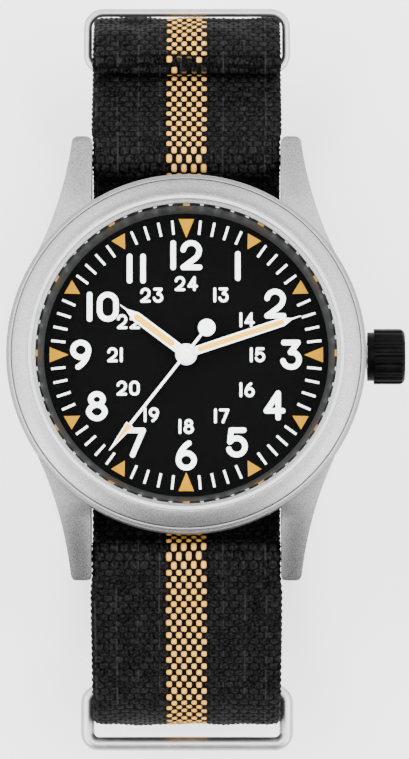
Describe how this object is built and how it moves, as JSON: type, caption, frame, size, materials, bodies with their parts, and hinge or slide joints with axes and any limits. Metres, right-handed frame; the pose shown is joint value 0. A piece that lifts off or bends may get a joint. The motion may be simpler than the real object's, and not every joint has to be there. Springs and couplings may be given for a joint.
{
  "type": "field watch",
  "caption": "Field watch with a sloped bezel, numbered black dial, fluted crown and a pull-through woven strap closed round the wrist by a buckle, a ring and keepers",
  "frame": {"origin": "middle of the bounding box in X and Y, on the surface that the closed strap loop stands on", "axes": "+Z out of the dial, +Y towards 12 o'clock, +X towards the crown at 3 o'clock"},
  "size_m": [0.0424, 0.0818, 0.0542],
  "materials": {
    "case_steel": "bead blasted, light grey",
    "polished_steel": "satin to polished",
    "crystal_glass": "clear, polished",
    "gasket_nylon": "translucent",
    "seal_rubber": "matte",
    "dial_ring_grey": "dark satin grey",
    "dial_black": "matte black",
    "print_white": "printed, matte",
    "marker_gold": "printed, gold yellow",
    "holder_plastic": "moulded",
    "crown_black": "black coating",
    "hand_white": "white paint",
    "lume_tan": "aged luminous paint",
    "wheel_brass": "gilt",
    "movement_plate": "nickel plated",
    "motor_iron": "plain",
    "winding_copper": "enamelled wire",
    "board_green": "lacquered",
    "strap_webbing": "woven, black with a tan middle stripe",
    "strap_thread": "sewing thread"
  },
  "bodies": {
    "watch_and_strap": {"case_middle": "case_steel", "bezel": "case_steel", "case_back": "case_steel", "crystal": "crystal_glass", "crystal_gasket": "gasket_nylon", "case_back_gasket": "seal_rubber", "dial_ring": "dial_ring_grey", "dial": "dial_black", "dial_numerals": "print_white", "minute_track": "print_white", "hour_markers": "marker_gold", "movement_holder": "holder_plastic", "crown_tube": "polished_steel", "main_plate": "movement_plate", "train_bridge": "movement_plate", "bridge_screws": "polished_steel", "stator": "motor_iron", "coil_core": "motor_iron", "coil_winding": "winding_copper", "circuit_board": "board_green", "quartz_can": "polished_steel", "battery": "polished_steel", "battery_clamp": "polished_steel", "spring_bar_12": "polished_steel", "spring_bar_6": "polished_steel", "bar_spring_12": "polished_steel", "bar_spring_6": "polished_steel", "long_strap": "strap_webbing", "short_strip": "strap_webbing", "fixed_keeper": "polished_steel", "buckle_frame": "polished_steel", "buckle_bar": "polished_steel", "strap_stitching": "strap_thread"},
    "minute_body": {"centre_wheel": "wheel_brass", "minute_hand": "hand_white", "minute_hand_lume": "lume_tan"},
    "hour_body": {"hour_wheel": "wheel_brass", "hour_hand": "hand_white", "hour_hand_lume": "lume_tan"},
    "seconds_body": {"seconds_wheel": "wheel_brass", "seconds_hand": "hand_white", "seconds_hand_lume": "lume_tan"},
    "minute_wheel_body": {"minute_wheel": "wheel_brass"},
    "setting_wheel_body": {"setting_wheel": "wheel_brass"},
    "third_body": {"third_wheel": "wheel_brass"},
    "fifth_body": {"fifth_wheel": "wheel_brass"},
    "rotor_body": {"rotor": "wheel_brass"},
    "crown_slide_body": {"crown_seal": "seal_rubber"},
    "crown_body": {"crown": "crown_black", "stem": "polished_steel"},
    "lever_body": {"setting_lever": "polished_steel"},
    "fork_body": {"clutch_fork": "polished_steel"},
    "clutch_body": {"clutch_wheel": "polished_steel"},
    "tip_12_left_body": {"bar_tip_12_left": "polished_steel"},
    "tip_12_right_body": {"bar_tip_12_right": "polished_steel"},
    "tip_6_left_body": {"bar_tip_6_left": "polished_steel"},
    "tip_6_right_body": {"bar_tip_6_right": "polished_steel"},
    "tongue_body": {"buckle_tongue": "polished_steel"},
    "keeper_body": {"floating_keeper": "polished_steel"},
    "ring_body": {"strap_ring": "polished_steel"}
  },
  "joints": [
    {"name": "minute_turn", "type": "hinge", "parent": "watch_and_strap", "child": "minute_body", "pos_m": [-0.0021, 0.00033, 0.05155], "axis": [0, 0, 1], "continuous": true},
    {"name": "hour_turn", "type": "hinge", "parent": "watch_and_strap", "child": "hour_body", "pos_m": [-0.0021, 0.00033, 0.05105], "axis": [0, 0, 1], "continuous": true},
    {"name": "seconds_turn", "type": "hinge", "parent": "watch_and_strap", "child": "seconds_body", "pos_m": [-0.0021, 0.00033, 0.052], "axis": [0, 0, 1], "continuous": true},
    {"name": "minute_wheel_turn", "type": "hinge", "parent": "watch_and_strap", "child": "minute_wheel_body", "pos_m": [0.0003, 0.00033, 0.0495], "axis": [0, 0, 1], "continuous": true},
    {"name": "setting_wheel_turn", "type": "hinge", "parent": "watch_and_strap", "child": "setting_wheel_body", "pos_m": [0.0033, 0.00033, 0.0495], "axis": [0, 0, 1], "continuous": true},
    {"name": "third_turn", "type": "hinge", "parent": "watch_and_strap", "child": "third_body", "pos_m": [-0.00558, 0.00126, 0.0477], "axis": [0, 0, 1], "continuous": true},
    {"name": "fifth_turn", "type": "hinge", "parent": "watch_and_strap", "child": "fifth_body", "pos_m": [-0.00364, -0.00297, 0.04715], "axis": [0, 0, 1], "continuous": true},
    {"name": "rotor_turn", "type": "hinge", "parent": "watch_and_strap", "child": "rotor_body", "pos_m": [-0.00517, -0.0045, 0.0475], "axis": [0, 0, 1], "continuous": true},
    {"name": "crown_pull", "type": "slide", "parent": "watch_and_strap", "child": "crown_slide_body", "axis": [1, 0, 0], "range_m": [0, 0.001]},
    {"name": "crown_turn", "type": "hinge", "parent": "crown_slide_body", "child": "crown_body", "pos_m": [0.01715, 0.00033, 0.0486], "axis": [1, 0, 0], "continuous": true},
    {"name": "lever_turn", "type": "hinge", "parent": "watch_and_strap", "child": "lever_body", "pos_m": [0.0084, 0.00273, 0.0475], "axis": [0, 0, 1], "range_deg": [0, 24.6]},
    {"name": "fork_slide", "type": "slide", "parent": "watch_and_strap", "child": "fork_body", "axis": [-1, 0, 0], "range_m": [0, 0.0005]},
    {"name": "clutch_turn", "type": "hinge", "parent": "fork_body", "child": "clutch_body", "pos_m": [0.0052, 0.00033, 0.0486], "axis": [1, 0, 0], "continuous": true},
    {"name": "tip_12_left_press", "type": "slide", "parent": "watch_and_strap", "child": "tip_12_left_body", "axis": [1, 0, 0], "range_m": [0, 0.00095], "stiffness_N_per_m": 400, "deforming": ["bar_spring_12"]},
    {"name": "tip_12_right_press", "type": "slide", "parent": "watch_and_strap", "child": "tip_12_right_body", "axis": [-1, 0, 0], "range_m": [0, 0.00095], "stiffness_N_per_m": 400, "deforming": ["bar_spring_12"]},
    {"name": "tip_6_left_press", "type": "slide", "parent": "watch_and_strap", "child": "tip_6_left_body", "axis": [1, 0, 0], "range_m": [0, 0.00095], "stiffness_N_per_m": 400, "deforming": ["bar_spring_6"]},
    {"name": "tip_6_right_press", "type": "slide", "parent": "watch_and_strap", "child": "tip_6_right_body", "axis": [-1, 0, 0], "range_m": [0, 0.00095], "stiffness_N_per_m": 400, "deforming": ["bar_spring_6"]},
    {"name": "tongue_hinge", "type": "hinge", "parent": "watch_and_strap", "child": "tongue_body", "pos_m": [-0.0021, 0.00433, 0.0055], "axis": [1, 0, 0], "range_deg": [0, 8]},
    {"name": "keeper_slide", "type": "slide", "parent": "watch_and_strap", "child": "keeper_body", "axis": [0, 0, 1], "range_m": [-0.004, 0]},
    {"name": "ring_hinge", "type": "hinge", "parent": "watch_and_strap", "child": "ring_body", "pos_m": [-0.0021, -0.03437, 0.0242], "axis": [1, 0, 0], "range_deg": [-12, 12]}
  ],
  "couplings": [
    {"joint": "hour_turn", "follows": "minute_turn", "ratio": 0.083333},
    {"joint": "minute_wheel_turn", "follows": "minute_turn", "ratio": -0.33333},
    {"joint": "setting_wheel_turn", "follows": "minute_turn", "ratio": 0.5},
    {"joint": "seconds_turn", "follows": "minute_turn", "ratio": 60},
    {"joint": "third_turn", "follows": "minute_turn", "ratio": -8},
    {"joint": "fifth_turn", "follows": "minute_turn", "ratio": -360},
    {"joint": "rotor_turn", "follows": "minute_turn", "ratio": 1800},
    {"joint": "clutch_turn", "follows": "crown_turn", "ratio": 1},
    {"joint": "fork_slide", "follows": "crown_pull", "ratio": 0.5},
    {"joint": "lever_turn", "follows": "crown_pull", "rad_per_m": 427.61}
  ]
}
